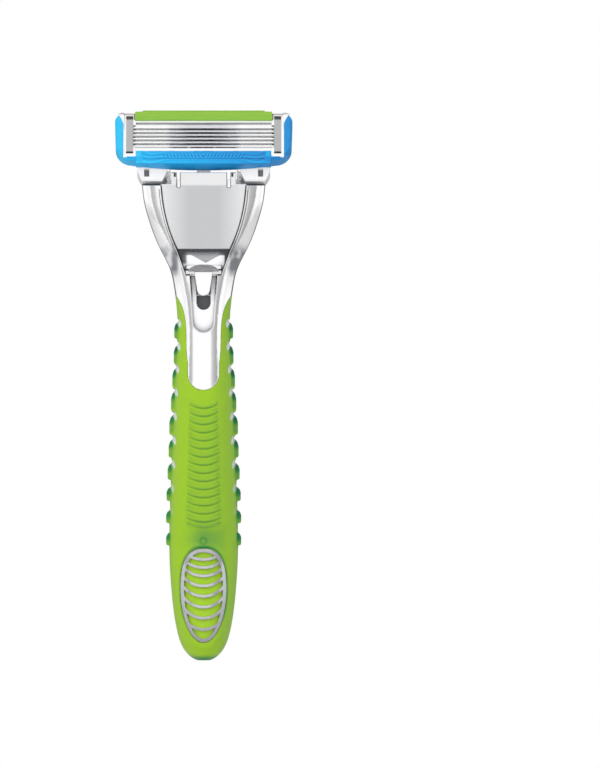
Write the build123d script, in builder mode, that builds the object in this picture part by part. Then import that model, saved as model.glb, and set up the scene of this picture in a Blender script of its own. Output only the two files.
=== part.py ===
from build123d import *
import os
from math import atan2, copysign, cos, degrees, hypot, pi, radians, sin

# Cartridge razor: an overmoulded handle with a Y-shaped metal head, and a six-blade cartridge
# that pivots in the saddles of the head's two arms.  Millimetres.  +Z runs up the handle, +X is
# to the right, -Y is the front, where the blades face.  The origin is the middle of the waist,
# where a holder takes the razor.  "Height" always means height above the bottom tip.

os.makedirs("parts", exist_ok=True)

# ---------------------------------------------------------------- driving dimensions
WAIST_HEIGHT = 78.0

# The handle's outer surface, as sections from the tip to the ends of the arms:
# height, half width, depth in front, depth behind, squareness (2 is an ellipse)
STATIONS = (
    (0.2, 1.45, 2.5, 0.7, 2.0),
    (0.8, 2.75, 3.6, 1.55, 2.0),
    (1.8, 3.9, 4.5, 2.3, 2.0),
    (3.5, 5.05, 5.3, 3.1, 2.05),
    (6.5, 6.1, 6.1, 4.1, 2.1),
    (11.0, 6.95, 6.5, 4.9, 2.15),
    (17.0, 7.6, 6.5, 5.6, 2.2),
    (25.0, 8.05, 6.5, 6.2, 2.25),
    (33.0, 8.0, 7.2, 6.4, 2.3),
    (43.0, 7.7, 7.9, 6.3, 2.3),
    (54.0, 7.3, 7.8, 5.9, 2.3),
    (65.0, 6.85, 6.9, 5.3, 2.3),
    (73.0, 6.35, 6.05, 4.9, 2.35),
    (80.0, 6.15, 5.4, 4.6, 2.4),
    (84.0, 6.45, 5.15, 4.45, 2.45),
    (88.0, 7.0, 4.95, 4.35, 2.55),
    (92.0, 7.95, 4.85, 4.25, 2.65),
    (96.0, 9.9, 4.7, 4.1, 2.8),
    (100.0, 11.7, 4.6, 4.0, 2.9),
    (104.0, 13.05, 4.5, 3.9, 3.0),
    (108.5, 14.15, 4.3, 3.8, 3.0),
    (113.4, 14.9, 4.1, 3.7, 3.0),
)
SECTION_POINTS = 20
EVEN_TURN = [step / SECTION_POINTS for step in range(SECTION_POINTS + 1)]
SKIN = 1.5  # thickness of the soft skin in front and behind
SIDE_SKIN = 0.5  # and at the sides, where notches open it down to the core
CORE_TIP = 5.0
GRIP_TOP = 86.0
BEYOND = 20.0  # far enough to pass any surface of the handle
BEYOND_TOP = 120.0

REARWARD = (Align.CENTER, Align.MIN, Align.MIN)
LEVEL = (Align.CENTER, Align.CENTER, Align.MIN)

# Cartridge: tilted back about the pivot axis, measured in its own plane from that axis
PIVOT_HEIGHT = 114.0
TILT = 25.0
FRAME_BACK = 1.5
FRAME_STEP = 3.0  # the guard lies on the frame in front of this level
FRAME_FACE = 4.95
FRAME_TOP = 13.65
FRAME_HALF = 18.85
OPENING_HALF, OPENING_BOTTOM, OPENING_TOP = 15.9, 3.95, 11.35
GUARD_SHOULDER = 4.75
GUARD_FACE = 5.35
STRIP_HALF = 16.1
BLADES = 6
BLADE_PITCH = 0.97
FIRST_EDGE = 4.9
EDGE_LEVEL = 5.15
BLADE_SLOPE = radians(22.0)
BLADE_WIDTH = 1.4
BLADE_THICK = 0.1
SUPPORT_THICK = 0.12
BLADE_HALF = 16.45
FOOT_RADIUS = 2.3
SADDLE_GAP = 0.15

# Release mechanism: the button rises, and its cam slots draw the latches in
RELEASE_TRAVEL = 3.5
LATCH_TRAVEL = 1.5
PIN_RADIUS, PIN_CLEARANCE = 0.85, 0.07
CAM_PIN_RADIUS, CAM_CLEARANCE = 0.45, 0.07
CAM_X, CAM_HEIGHT = 5.2, 107.0
PLUNGER_PER_RADIAN = 3.5
TIP_Y, TIP_HEIGHT, TIP_RADIUS = 1.0, 118.0, 0.5
SPRING_Y, SPRING_RADIUS, WIRE_RADIUS = 0.8, 1.2, 0.2
GAP = 0.12  # assembly gap between neighbouring pieces


def up(height):
    """Level above the origin of a height above the tip."""
    return height - WAIST_HEIGHT


# The cartridge's own planes: across its face, and through its side
PIVOT = (0, 0, up(PIVOT_HEIGHT))
ALONG = (0, sin(radians(TILT)), cos(radians(TILT)))
OUTWARD = (0, -cos(radians(TILT)), sin(radians(TILT)))
FACE = Plane(origin=PIVOT, x_dir=(1, 0, 0), z_dir=OUTWARD)
SIDE = Plane(origin=PIVOT, x_dir=ALONG, z_dir=(1, 0, 0))


def save(solid, name):
    """Labels a finished piece and writes it as its own node."""
    solid.label = name
    export_step(solid, f"parts/{name}.step")


def superellipse(half_width, front, back, squareness_front, squareness_back, count):
    """Points round a superellipse whose front and back halves differ, evenly turned."""
    points = []
    for step in range(count):
        angle = 2 * pi * step / count
        behind = sin(angle) > 0
        depth = back if behind else front
        power = squareness_back if behind else squareness_front
        reach = (abs(cos(angle)) ** power + abs(sin(angle)) ** power) ** (-1 / power)
        points.append((half_width * cos(angle) * reach, depth * sin(angle) * reach))
    return points


def handle_loft(stations):
    """A closed body lofted through the given sections."""
    with BuildPart() as body:
        for height, half_width, front, back, squareness in stations:
            section = superellipse(
                half_width, front, back, squareness, squareness, SECTION_POINTS
            )
            with BuildSketch(Plane.XY.offset(up(height))):
                with BuildLine():
                    add(Edge.make_spline(section, periodic=True, parameters=EVEN_TURN))
                make_face()
        loft()
    return body.part


def inset(stations, side, depth, low, high):
    """The same sections drawn in at the sides and in depth, between two heights."""
    return [
        (height, half_width - side, front - depth, back - depth, squareness)
        for height, half_width, front, back, squareness in stations
        if low <= height <= high
    ]


# ---------------------------------------------------------------- handle: shared solids
envelope = handle_loft(STATIONS)
inner_core = handle_loft(inset(STATIONS, SIDE_SKIN, SKIN, CORE_TIP, GRIP_TOP))

# Where bright metal shows in front: a window with a round foot, narrowing from the waist
WINDOW_FOOT, WINDOW_HALF, WINDOW_STRAIGHT = 63.6, 3.65, 70.0
with BuildPart() as front_window:
    with BuildSketch(Plane.XZ):
        with BuildLine():
            foot_level = up(WINDOW_FOOT + WINDOW_HALF)
            left = Spline(
                (-6.7, up(GRIP_TOP)),
                (-4.75, up(82.4)),
                (-4.05, up(77.5)),
                (-WINDOW_HALF, up(WINDOW_STRAIGHT)),
            )
            Line(left @ 1, (-WINDOW_HALF, foot_level))
            ThreePointArc(
                (-WINDOW_HALF, foot_level), (0, up(WINDOW_FOOT)), (WINDOW_HALF, foot_level)
            )
            Line((WINDOW_HALF, foot_level), (WINDOW_HALF, up(WINDOW_STRAIGHT)))
            right = Spline(
                (WINDOW_HALF, up(WINDOW_STRAIGHT)),
                (4.05, up(77.5)),
                (4.75, up(82.4)),
                (6.7, up(GRIP_TOP)),
            )
            Line(right @ 1, left @ 0)
        make_face()
    extrude(amount=BEYOND)

# and behind: a shallow arch
ARCH_FOOT = 76.0
with BuildPart() as back_window:
    with BuildSketch(Plane.XZ):
        with BuildLine():
            arch = Spline(
                (-6.7, up(GRIP_TOP)),
                (-4.2, up(78.6)),
                (0, up(ARCH_FOOT)),
                (4.2, up(78.6)),
                (6.7, up(GRIP_TOP)),
            )
            Line(arch @ 1, arch @ 0)
        make_face()
    extrude(amount=-BEYOND)

with BuildPart() as above_grip:
    with Locations((0, 0, up(GRIP_TOP))):
        Box(60, 60, 60, align=(Align.CENTER, Align.CENTER, Align.MIN))

# ---------------------------------------------------------------- handle core
HEAD_BOTTOM, HEAD_BOTTOM_HALF = 96.4, 6.3
HEAD_TOP_HALF = 10.1
ARM_TOP = 111.55


def opening_prism(widening, bottom, top, front, back):
    """The opening between the arms, widened all round, between two depths."""
    with BuildPart() as prism:
        with BuildSketch(Plane.XZ.offset(front)):
            with BuildLine():
                side = Spline(
                    (HEAD_BOTTOM_HALF + widening, up(bottom)),
                    (8.3 + widening, up(101.4)),
                    (9.5 + widening, up(106.3)),
                    (HEAD_TOP_HALF + widening, up(ARM_TOP)),
                )
                shoulder = (HEAD_TOP_HALF + widening, up(top))
                Polyline(side @ 1, shoulder, (0, up(top)), (0, up(bottom)), side @ 0)
            make_face()
            mirror(about=Plane.YZ)
        extrude(amount=-front - back)
    return prism.part


CHANNEL_FLOOR = 3.4  # depths in front of the mid plane
POCKET_FLOOR = 0.75
SLOT_HALF, SLOT_BOTTOM, SLOT_TOP = 1.65, 82.4, 93.0
CAVITY_HALF, CAVITY_BOTTOM, CAVITY_TOP = 3.2, 83.6, 93.4
COVER_FRONT = 2.4  # depth behind the mid plane where the rear cover begins
POCKET_HALF, POCKET_BOTTOM = 4.15, 90.4
TAB_X, TAB_HEIGHT, TAB_LENGTH, TAB_DEEP = 10.6, 109.2, 2.0, 0.55
PLATE_BACK = 2.4
HOOK_HALF, HOOK_DROP, HOOK_THICK = 1.5, 0.7, 0.6

with BuildPart() as rear_arch:
    add(envelope)
    add(back_window.part, mode=Mode.INTERSECT)

with BuildPart() as head:
    add(envelope)
    add(above_grip.part, mode=Mode.INTERSECT)

with BuildPart() as handle_core:
    add(envelope)
    add(front_window.part, mode=Mode.INTERSECT)
    add(rear_arch.part)
    add(head.part)
    add(inner_core)
    # the opening between the arms, open at the top
    add(opening_prism(0, HEAD_BOTTOM, BEYOND_TOP, BEYOND, BEYOND), mode=Mode.SUBTRACT)
    # channel of the release button: a tapered trough that ends in a round bowl
    with BuildSketch(Plane.XZ.offset(CHANNEL_FLOOR)):
        with BuildLine():
            Polyline((-2.2, up(79.5)), (-3.0, up(POCKET_BOTTOM)), (3.0, up(POCKET_BOTTOM)), (2.2, up(79.5)))
            ThreePointArc((2.2, up(79.5)), (0, up(77.4)), (-2.2, up(79.5)))
        make_face()
    extrude(amount=BEYOND / 4, taper=-12, mode=Mode.SUBTRACT)
    # pocket of the button's bridge
    with BuildSketch(Plane.XZ.offset(POCKET_FLOOR)):
        with BuildLine():
            Polyline(
                (-POCKET_HALF, up(POCKET_BOTTOM)),
                (-HEAD_BOTTOM_HALF, up(HEAD_BOTTOM)),
                (HEAD_BOTTOM_HALF, up(HEAD_BOTTOM)),
                (POCKET_HALF, up(POCKET_BOTTOM)),
                close=True,
            )
        make_face()
    extrude(amount=BEYOND, mode=Mode.SUBTRACT)
    # slot under the button, and the spring cavity behind it
    with BuildSketch(Plane.XZ.offset(BEYOND)):
        with Locations((0, up((SLOT_BOTTOM + SLOT_TOP) / 2))):
            SlotCenterToCenter(SLOT_TOP - SLOT_BOTTOM - 2 * SLOT_HALF, 2 * SLOT_HALF, rotation=90)
    extrude(amount=-BEYOND, mode=Mode.SUBTRACT)
    with Locations((0, -POCKET_FLOOR, up(CAVITY_BOTTOM))):
        Box(2 * CAVITY_HALF, BEYOND, CAVITY_TOP - CAVITY_BOTTOM, align=REARWARD, mode=Mode.SUBTRACT)
    # seat of the rear cover across the spring stop, and the notch for its hook
    with Locations((0, COVER_FRONT, up(CAVITY_TOP) - GAP)):
        Box(2 * CAVITY_HALF, BEYOND, HEAD_BOTTOM - CAVITY_TOP + 2 * GAP, align=REARWARD, mode=Mode.SUBTRACT)
    with Locations((0, COVER_FRONT, up(CAVITY_BOTTOM) - HOOK_DROP)):
        Box(2 * HOOK_HALF, HOOK_THICK, 2 * HOOK_DROP, align=REARWARD, mode=Mode.SUBTRACT)
    # notches in the arms for the face plate's tabs
    for side in (-1, 1):
        with Locations((side * (TAB_X - 1), -PLATE_BACK, up(TAB_HEIGHT))):
            Box(2, 2 * TAB_DEEP, TAB_LENGTH + GAP, mode=Mode.SUBTRACT)
    # saddles: a cylinder about the pivot axis, open to the front and above
    with Locations(Location(PIVOT, (0, 90, 0))):
        Cylinder(FOOT_RADIUS + SADDLE_GAP, 60, mode=Mode.SUBTRACT)
    with Locations((0, 0, up(ARM_TOP))):
        Box(60, BEYOND, 10, align=(Align.CENTER, Align.MAX, Align.MIN), mode=Mode.SUBTRACT)
save(handle_core.part, "handle_core")

# ---------------------------------------------------------------- grip
# fins on each side: height of the pointed top, length, reach from the middle
FINS = (
    (79.1, 3.4, 6.9),
    (73.7, 4.0, 7.0),
    (68.3, 4.3, 7.35),
    (62.9, 4.4, 7.65),
    (57.3, 4.2, 8.05),
    (51.6, 3.8, 8.2),
    (46.0, 3.4, 8.45),
    (40.4, 2.8, 8.7),
    (35.0, 2.6, 8.8),
    (29.8, 2.6, 8.8),
)
FIN_ROOT = 0.45
FIN_FRONT, FIN_BACK = 2.2, 1.6

# The egg-shaped inlay near the tip
EGG_MIDDLE, EGG_UP, EGG_DOWN, EGG_HALF = 17.0, 9.4, 12.55, 5.38
EGG_POINTS = 20
RING = 0.85
GRILLE_THICK = 0.6
INLAY_THICK = 1.2
BARS = (23.9, 22.0, 20.05, 17.7, 15.3, 12.75, 10.15, 7.5)
BAR_HALF = 0.34


def half_width_at(height):
    """Half width of the handle at a height, between the two nearest stations."""
    for lower, upper in zip(STATIONS, STATIONS[1:]):
        if lower[0] <= height <= upper[0]:
            share = (height - lower[0]) / (upper[0] - lower[0])
            return lower[1] + share * (upper[1] - lower[1])
    return STATIONS[0][1]


def egg(inward):
    """A prism of the egg outline, drawn in by a margin, from the mid plane to the front."""
    outline = superellipse(
        EGG_HALF - inward, EGG_DOWN - inward, EGG_UP - inward, 2.0, 2.6, EGG_POINTS
    )
    points = [(x, up(EGG_MIDDLE) + z) for x, z in outline]
    with BuildPart() as prism:
        with BuildSketch(Plane.XZ):
            with BuildLine():
                Spline(*points, periodic=True)
            make_face()
        extrude(amount=BEYOND)
    return prism.part


def grille_bar(height):
    """A bar of the grille: a smile-shaped band whose lowest point is at the height."""
    radius = 5.5 + 0.12 * (height - 10)
    with BuildPart() as bar:
        with BuildSketch(Plane.XZ):
            with Locations((0, up(height) + radius)):
                Circle(radius + BAR_HALF)
                Circle(radius - BAR_HALF, mode=Mode.SUBTRACT)
                Rectangle(4 * radius, 2 * radius, align=(Align.CENTER, Align.MIN), mode=Mode.SUBTRACT)
        extrude(amount=BEYOND)
        add(egg(RING - 0.1), mode=Mode.INTERSECT)
        add(envelope, mode=Mode.INTERSECT)
        add(under_grille, mode=Mode.SUBTRACT)
    return bar.part


def skin_layer(depth):
    """The handle's lower end, drawn in by a depth all round."""
    return handle_loft(inset(STATIONS, depth, depth, 1.0, 34.0))


under_grille = skin_layer(GRILLE_THICK)
under_inlay = skin_layer(INLAY_THICK)

with BuildPart() as inlay_seat:
    add(egg(-0.02))
    add(under_inlay, mode=Mode.SUBTRACT)

with BuildPart() as grip:
    add(envelope)
    add(above_grip.part, mode=Mode.SUBTRACT)
    add(inner_core, mode=Mode.SUBTRACT)
    add(front_window.part, mode=Mode.SUBTRACT)
    add(back_window.part, mode=Mode.SUBTRACT)
    add(inlay_seat.part, mode=Mode.SUBTRACT)
    for top, length, reach in FINS:
        for side in (-1, 1):
            root = half_width_at(top - length) - FIN_ROOT
            with BuildSketch(Plane.XZ.offset(FIN_FRONT)):
                with BuildLine():
                    Polyline(
                        (side * (half_width_at(top) - FIN_ROOT), up(top)),
                        (side * reach, up(top - 0.62 * length)),
                        (side * reach, up(top - 0.9 * length)),
                        (side * (reach - 0.15), up(top - length)),
                        (side * root, up(top - length)),
                        close=True,
                    )
                make_face()
            extrude(amount=-FIN_FRONT - FIN_BACK)
save(grip.part, "grip")

with BuildPart() as oval_grille:
    add(egg(0))
    add(envelope, mode=Mode.INTERSECT)
    add(under_grille, mode=Mode.SUBTRACT)
    add(egg(RING), mode=Mode.SUBTRACT)
    for height in BARS:
        add(grille_bar(height))
save(oval_grille.part, "oval_grille")

with BuildPart() as pad_insert:
    add(egg(0.02))
    add(under_grille, mode=Mode.INTERSECT)
    add(under_inlay, mode=Mode.SUBTRACT)
    add(inner_core, mode=Mode.SUBTRACT)
save(pad_insert.part, "pad_insert")

# ---------------------------------------------------------------- face plate and rear cover
PLATE_BOTTOM, PLATE_TOP, PLATE_TOP_HALF, PLATE_SHOULDER = 96.55, 114.6, 7.6, 111.9
PLATE_FRONT = 3.3
PLATE_SLOT_X, PLATE_SLOT_HALF, PLATE_SLOT_DEEP = 5.9, 0.35, 3.6
POST_X, POST_HEIGHT, POST_RADIUS, PEG_RADIUS, PEG_LENGTH = 7.6, 103.6, 0.6, 0.4, 0.5

with BuildPart() as face_plate:
    add(opening_prism(-GAP - 0.03, PLATE_BOTTOM, PLATE_SHOULDER, PLATE_FRONT, -PLATE_BACK))
    with Locations((0, -PLATE_BACK, up(PLATE_SHOULDER) - 0.5)):
        Box(
            2 * PLATE_TOP_HALF,
            PLATE_FRONT - PLATE_BACK,
            PLATE_TOP - PLATE_SHOULDER + 0.5,
            align=(Align.CENTER, Align.MAX, Align.MIN),
        )
    fillet(face_plate.faces().sort_by(Axis.Y)[0].edges(), 0.25)
    for side in (-1, 1):
        with Locations((side * PLATE_SLOT_X, 0, up(PLATE_TOP - PLATE_SLOT_DEEP))):
            Box(2 * PLATE_SLOT_HALF, BEYOND, 2 * PLATE_SLOT_DEEP, align=LEVEL, mode=Mode.SUBTRACT)
        with Locations((side * (TAB_X - 0.55), -PLATE_BACK - TAB_DEEP / 2 + 0.03, up(TAB_HEIGHT))):
            Box(1, TAB_DEEP - 0.06, TAB_LENGTH)
        with Locations(Location((side * POST_X, -PLATE_BACK, up(POST_HEIGHT)), (90, 0, 0))):
            Cylinder(PEG_RADIUS, 2 * PEG_LENGTH, mode=Mode.SUBTRACT)
save(face_plate.part, "face_plate")

COVER_TOP = 113.0
RAIL_REACH = COVER_FRONT + 0.6
# rails beside the plunger, and below and above the latch: place, bottom, top, width
RAILS = ((1.95, 97.5, 112.4, 0.4), (4.6, 105.2, 105.7, 3.2), (4.4, 108.3, 108.8, 2.8))

with BuildPart() as back_cover:
    add(opening_prism(-GAP, HEAD_BOTTOM, COVER_TOP, -COVER_FRONT, BEYOND))
    with Locations((0, COVER_FRONT, up(CAVITY_BOTTOM) + GAP)):
        Box(2 * (CAVITY_HALF - GAP), BEYOND, HEAD_BOTTOM - CAVITY_BOTTOM, align=REARWARD)
    add(envelope, mode=Mode.INTERSECT)
    # hook under the spring cavity
    with Locations((0, COVER_FRONT, up(CAVITY_BOTTOM) - HOOK_DROP + GAP)):
        Box(2 * (HOOK_HALF - GAP), HOOK_THICK - GAP, 2 * HOOK_DROP, align=REARWARD)
    for side in (-1, 1):
        # posts that carry the face plate
        with Locations(Location((side * POST_X, COVER_FRONT, up(POST_HEIGHT)), (90, 0, 0))):
            Cylinder(POST_RADIUS, COVER_FRONT + PLATE_BACK, align=LEVEL)
            Cylinder(PEG_RADIUS - 0.02, COVER_FRONT + PLATE_BACK + PEG_LENGTH - 0.05, align=LEVEL)
        for x, low, high, width in RAILS:
            with Locations((side * x, COVER_FRONT + 0.1, up(low))):
                Box(width, RAIL_REACH + 0.1, high - low, align=(Align.CENTER, Align.MAX, Align.MIN))
save(back_cover.part, "back_cover")

# ---------------------------------------------------------------- release slider
TONGUE_FRONT, TONGUE_BACK = 5.0, 3.5
BODY_FRONT, BODY_BACK = 2.2, 0.9
BODY_TOP, BODY_HALF = 109.4, 6.8
BRIDGE_BOTTOM, BRIDGE_TOP = 90.75, 92.85
BRIDGE_SLOPE = (HEAD_BOTTOM_HALF - POCKET_HALF) / (HEAD_BOTTOM - POCKET_BOTTOM)
STEM_HALF, STEM_BOTTOM, STEM_TOP = 1.3, 86.0, 88.2
TAB_FOOT_HALF, TAB_FOOT_TOP = 1.9, 87.0
CAM_RUN = hypot(LATCH_TRAVEL, RELEASE_TRAVEL)
CAM_ANGLE = degrees(atan2(RELEASE_TRAVEL, LATCH_TRAVEL))
BRIDGE_HALF = POCKET_HALF - GAP + BRIDGE_SLOPE * (BRIDGE_BOTTOM - POCKET_BOTTOM)

with BuildPart() as release_slider:
    # body: a flat plate behind the face plate, shouldered out above the neck
    with BuildSketch(Plane.XZ.offset(BODY_BACK)):
        with BuildLine():
            Polyline(
                (0, up(BRIDGE_BOTTOM)),
                (BRIDGE_HALF, up(BRIDGE_BOTTOM)),
                (HEAD_BOTTOM_HALF - 2 * GAP, up(HEAD_BOTTOM)),
                (BODY_HALF, up(99.0)),
                (BODY_HALF, up(BODY_TOP)),
                (0, up(BODY_TOP)),
                close=True,
            )
        make_face()
        mirror(about=Plane.YZ)
    extrude(amount=BODY_FRONT - BODY_BACK)
    # bridge: rises to the front under the thumb and slopes back beneath the plate
    with BuildSketch(Plane.YZ):
        with BuildLine():
            Polyline(
                (-BODY_BACK - 0.5, up(BRIDGE_BOTTOM)),
                (-4.7, up(BRIDGE_BOTTOM)),
                (-4.8, up(91.5)),
                (-BODY_FRONT - 0.1, up(BRIDGE_TOP)),
                (-BODY_BACK - 0.5, up(BRIDGE_TOP)),
                close=True,
            )
        make_face()
    extrude(amount=BRIDGE_HALF, both=True)
    # tongue, and the stem that carries it through the slot to the spring
    with BuildSketch(Plane.XZ.offset(TONGUE_BACK)):
        with BuildLine():
            Polyline((-1.5, up(87.2)), (-2.1, up(91.2)), (2.1, up(91.2)), (1.5, up(87.2)))
            ThreePointArc((1.5, up(87.2)), (0, up(85.7)), (-1.5, up(87.2)))
        make_face()
    extrude(amount=TONGUE_FRONT - TONGUE_BACK)
    with Locations((0, -TONGUE_BACK - 0.2, up(STEM_BOTTOM))):
        Box(2 * STEM_HALF, TONGUE_BACK - 0.4, STEM_TOP - STEM_BOTTOM, align=REARWARD)
        Box(2 * STEM_HALF, TONGUE_BACK + 1, TAB_FOOT_TOP - STEM_BOTTOM, align=REARWARD)
    with Locations((0, 0, up(STEM_BOTTOM))):
        Box(2 * TAB_FOOT_HALF, COVER_FRONT - 0.2, TAB_FOOT_TOP - STEM_BOTTOM, align=REARWARD)
    # cam slots: they fall inward, so that lifting the button draws the latches in
    for side in (-1, 1):
        with BuildSketch(Plane.XZ):
            with Locations((side * (CAM_X - LATCH_TRAVEL / 2), up(CAM_HEIGHT - RELEASE_TRAVEL / 2))):
                SlotCenterToCenter(CAM_RUN, 2 * (CAM_PIN_RADIUS + CAM_CLEARANCE), rotation=side * CAM_ANGLE)
        extrude(amount=BEYOND, mode=Mode.SUBTRACT)
save(release_slider.part, "release_slider")

# ---------------------------------------------------------------- latches
LATCH_BACK, LATCH_FRONT = 2.3, 0.8
LATCH_BOTTOM, LATCH_SHELF, LATCH_NECK, LATCH_TOP = 105.85, 108.15, 111.5, 115.2
LATCH_INNER, RISER_INNER, LATCH_OUTER = 4.3, 7.75, 9.3
PIN_END = 10.8


def latch(side):
    """A latch: an arm with a cam pin, and a riser whose side pin is half the hinge."""
    with BuildPart() as body:
        with BuildSketch(Plane.XZ.offset(LATCH_FRONT)):
            with BuildLine():
                Polyline(
                    (side * LATCH_INNER, up(LATCH_BOTTOM)),
                    (side * LATCH_OUTER, up(LATCH_BOTTOM)),
                    (side * LATCH_OUTER, up(LATCH_NECK)),
                    (side * RISER_INNER, up(LATCH_NECK)),
                    (side * RISER_INNER, up(LATCH_SHELF)),
                    (side * LATCH_INNER, up(LATCH_SHELF)),
                    close=True,
                )
            make_face()
        extrude(amount=-LATCH_FRONT - LATCH_BACK)
        # the riser's head is slim, to pass beside the turning foot
        with BuildSketch(Plane.XZ.offset(LATCH_FRONT)):
            with BuildLine():
                Polyline(
                    (side * RISER_INNER, up(LATCH_NECK)),
                    (side * LATCH_OUTER, up(LATCH_NECK)),
                    (side * 8.55, up(112.1)),
                    (side * 8.25, up(PIVOT_HEIGHT)),
                    (side * 8.1, up(LATCH_TOP)),
                    (side * RISER_INNER, up(LATCH_TOP)),
                    close=True,
                )
            make_face()
        extrude(amount=-2 * LATCH_FRONT)
        with BuildSketch(Plane.XZ):
            with Locations((side * CAM_X, up(CAM_HEIGHT))):
                Circle(CAM_PIN_RADIUS)
        extrude(amount=BODY_FRONT)
        with BuildSketch(Plane.YZ.offset(side * (RISER_INNER + 0.2))):
            with Locations((0, up(PIVOT_HEIGHT))):
                Circle(PIN_RADIUS)
        extrude(amount=side * (PIN_END - RISER_INNER - 0.2))
    return body.part


save(latch(-1), "latch_left")
save(latch(1), "latch_right")

# ---------------------------------------------------------------- plunger and springs
PLUNGER_HALF, PLUNGER_BOTTOM, PLUNGER_SHOULDER = 1.6, 103.2, 113.5

with BuildPart() as pivot_plunger:
    with Locations((0, -LATCH_FRONT, up(PLUNGER_BOTTOM))):
        Box(2 * PLUNGER_HALF, LATCH_FRONT + 1.9, PLUNGER_SHOULDER - PLUNGER_BOTTOM, align=REARWARD)
    with Locations((0, TIP_Y, up(PLUNGER_SHOULDER))):
        Box(2 * PLUNGER_HALF, 2 * TIP_RADIUS, TIP_HEIGHT - PLUNGER_SHOULDER, align=LEVEL)
    with Locations(Location((0, TIP_Y, up(TIP_HEIGHT)), (0, 90, 0))):
        Cylinder(TIP_RADIUS, 2 * PLUNGER_HALF)
save(pivot_plunger.part, "pivot_plunger")


def spring(bottom, top, turns):
    """A compression spring standing in the handle."""
    low, high = up(bottom) + WIRE_RADIUS, up(top) - WIRE_RADIUS
    with BuildPart() as coil:
        with BuildLine():
            wire = Helix((high - low) / turns, high - low, SPRING_RADIUS, center=(0, SPRING_Y, low))
        with BuildSketch(Plane(origin=wire @ 0, z_dir=wire % 0)):
            Circle(WIRE_RADIUS)
        sweep(is_frenet=True)
    return coil.part


save(spring(TAB_FOOT_TOP, CAVITY_TOP, 5), "slider_spring")
save(spring(HEAD_BOTTOM, PLUNGER_BOTTOM, 6), "plunger_spring")

# ---------------------------------------------------------------- cartridge
CORNER_BOTTOM, CORNER_TOP = 3.8, 2.1
GUARD_CORNER_U, GUARD_SIDE_BOTTOM, GUARD_SIDE_TOP = 2.18, 20.55, 20.9
GUARD_LOW = 0.4
PAD_HALF, PAD_TOP, WRAP_BOTTOM = 16.15, 3.85, 2.38
CLIP_INNER, CLIP_OUTER, CLIP_LOW, CLIP_HIGH, CLIP_THICK = 16.57, 18.15, 3.4, 12.85, 0.18
CLIP_SLOT = 0.42
STRIP_LOW, STRIP_LEVEL = 11.78, 3.6
FOOT_INNER_LOW, FOOT_INNER_HIGH, FOOT_OUTER_LOW, FOOT_OUTER_HIGH = 9.75, 8.5, 14.45, 15.6
FOOT_BENT = 0.45  # above this the foot's sides run straight
BORE_END = 11.2
CAM_HALF = 2.2
CAM_TURNS = (-4, 4, 12, 20, 28, 36, 42)
CAM_GAP = 0.06
SUPPORT_FOOT = 1.9
BAR_LEVEL = SUPPORT_FOOT - 0.05
REAR_BARS = ((-8.1, -6.9), (-CAM_HALF, CAM_HALF), (6.9, 8.1))


def face_outline(inward):
    """The cartridge's outline: a bowed bottom edge, round corners and a straight top."""
    with BuildSketch() as outline:
        with BuildLine():
            Polyline(
                (GUARD_SIDE_BOTTOM - inward, GUARD_CORNER_U + inward),
                (GUARD_SIDE_TOP - inward, FRAME_TOP),
                (inward - GUARD_SIDE_TOP, FRAME_TOP),
                (inward - GUARD_SIDE_BOTTOM, GUARD_CORNER_U + inward),
            )
            ThreePointArc(
                (inward - GUARD_SIDE_BOTTOM, GUARD_CORNER_U + inward),
                (0, GUARD_LOW + inward),
                (GUARD_SIDE_BOTTOM - inward, GUARD_CORNER_U + inward),
            )
        make_face()
        fillet(outline.vertices().group_by(Axis.Y)[0], CORNER_BOTTOM - inward)
        fillet(outline.vertices().group_by(Axis.Y)[-1], CORNER_TOP - min(inward, 1))
    return outline.sketch


def on_face(sketch, low, high):
    """Raises a sketch drawn across the cartridge between two levels."""
    with BuildPart() as slab:
        add(FACE.offset(low) * sketch)
        extrude(amount=high - low, dir=OUTWARD)
    return slab.part


def across(points, half):
    """Extrudes a closed side-view outline to both sides of the middle."""
    with BuildPart() as bar:
        with BuildSketch(SIDE):
            with BuildLine():
                Polyline(*points, close=True)
            make_face()
        extrude(amount=half, both=True)
    return bar.part


def block(left, right, bottom, top, low, high):
    """A box in the cartridge's own directions."""
    with BuildPart() as box:
        with BuildSketch(FACE.offset(low)):
            with Locations(((left + right) / 2, (bottom + top) / 2)):
                Rectangle(right - left, top - bottom)
        extrude(amount=high - low)
    return box.part


def cam_profile():
    """The surface that the plunger's round tip slides along as the cartridge tilts."""
    points = []
    for turn in CAM_TURNS:
        tilt = radians(TILT + turn)
        z = TIP_HEIGHT - PIVOT_HEIGHT - PLUNGER_PER_RADIAN * radians(turn)
        centre = (TIP_Y * sin(tilt) + z * cos(tilt), z * sin(tilt) - TIP_Y * cos(tilt))
        run = (PLUNGER_PER_RADIAN - TIP_Y) * cos(tilt) + z * sin(tilt)
        rise = z * cos(tilt) + (TIP_Y - PLUNGER_PER_RADIAN) * sin(tilt)
        reach = (TIP_RADIUS + CAM_GAP) / hypot(run, rise)
        points.append((centre[0] + rise * reach, centre[1] + run * reach))
    return points[::-1]


with BuildPart() as base_plate:
    add(on_face(face_outline(1.0), FRAME_BACK, FRAME_STEP))

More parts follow.
